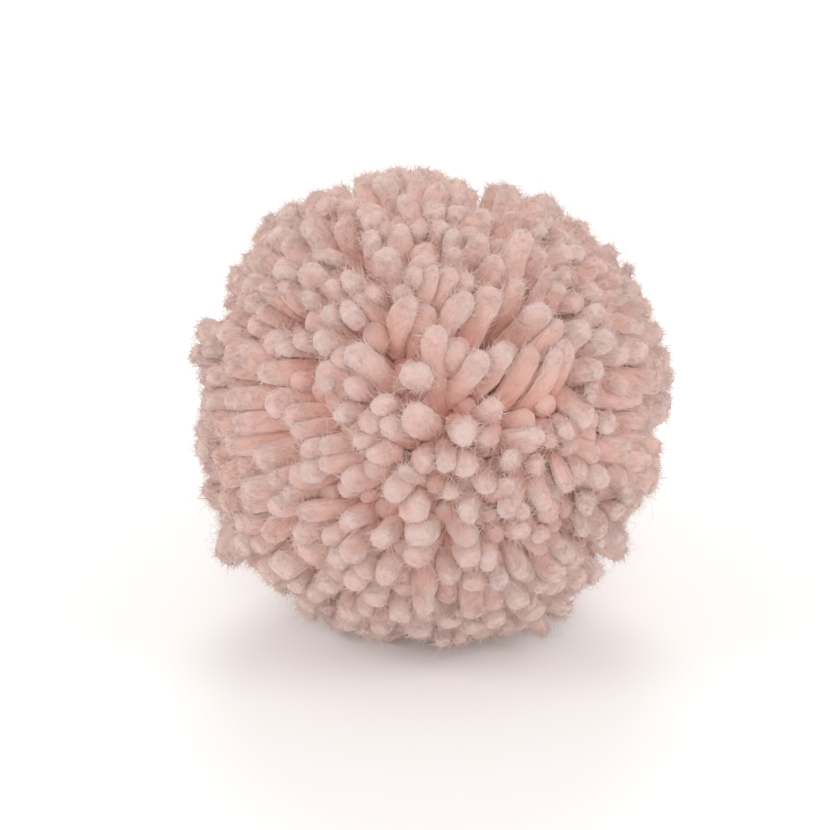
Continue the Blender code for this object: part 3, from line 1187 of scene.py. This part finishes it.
def add_sky():
    """A pale sky, brightest along the horizon."""
    world = bpy.data.worlds.new("studio")
    world.use_nodes = True
    tree = world.node_tree
    place = tree.nodes.new("ShaderNodeTexCoord")
    parts = tree.nodes.new("ShaderNodeSeparateXYZ")
    tree.links.new(place.outputs["Generated"], parts.inputs["Vector"])
    brightness = tree.nodes.new("ShaderNodeMapRange")
    brightness.interpolation_type = "SMOOTHSTEP"
    brightness.inputs["From Min"].default_value = SKY_BAND[0]
    brightness.inputs["From Max"].default_value = SKY_BAND[1]
    brightness.inputs["To Min"].default_value = HORIZON
    brightness.inputs["To Max"].default_value = ZENITH
    tree.links.new(parts.outputs["Z"], brightness.inputs["Value"])
    background = tree.nodes["Background"]
    background.inputs["Color"].default_value = (*SKY_COLOUR, 1.0)
    tree.links.new(brightness.outputs["Result"], background.inputs["Strength"])
    bpy.context.scene.world = world


def add_floor():
    """A plain pale floor, wide enough to fill every view."""
    material = bpy.data.materials.new("floor")
    material.use_nodes = True
    shader = material.node_tree.nodes["Principled BSDF"]
    shader.inputs["Base Color"].default_value = (*FLOOR_COLOUR, 1.0)
    shader.inputs["Roughness"].default_value = 0.9
    mesh = bpy.data.meshes.new("floor")
    ways = (-1, -1), (1, -1), (1, 1), (-1, 1)
    corners = [(FLOOR_HALF * across, FLOOR_HALF * along, 0.0) for across, along in ways]
    mesh.from_pydata(corners, [], [(0, 1, 2, 3)])
    mesh.materials.append(material)
    placed("floor", mesh)


def add_studio():
    """Pale floor and sky, soft light from all round, and the camera that sees the front."""
    scene = bpy.context.scene
    scene.view_settings.view_transform = "Standard"
    scene.view_settings.gamma = VIEW_GAMMA
    add_floor()
    add_sky()
    for name, across, up, strength in SUNS:
        add_sun(name, across, up, strength)

    camera = bpy.data.cameras.new("camera")
    camera.lens = LENS
    camera.sensor_width = SENSOR
    view = placed("camera", camera)
    scale = CAMERA_DISTANCE * PIXEL_SLOPE
    right = (PICTURE_SIZE / 2 - BALL_CENTRE_PX[0]) * scale
    up = (BALL_CENTRE_PX[1] - PICTURE_SIZE / 2) * scale
    place = CENTRE + OUT * CAMERA_DISTANCE + right * RIGHT + up * UP
    view.location = place
    aim(view, place - OUT)
    scene.camera = view


# --- the object ---

rng = np.random.default_rng(SEED)
strand_wool = wool_material("strand_wool", bump=True)
fibre_wool = wool_material("fibre_wool", bump=False)
yarn = Yarn(rng)
in_front = yarn.axes[:, -1] @ OUT > 0.0
add_strands(yarn, np.nonzero(in_front)[0], "strands_front", strand_wool)
add_strands(yarn, np.nonzero(~in_front)[0], "strands_back", strand_wool)
for row in FIBRES:
    add_fibres(yarn, row, rng, fibre_wool)
add_ends(yarn, rng, fibre_wool)
add_veil(yarn, rng, fibre_wool)
add_bridges(yarn, rng, fibre_wool)
add_studio()
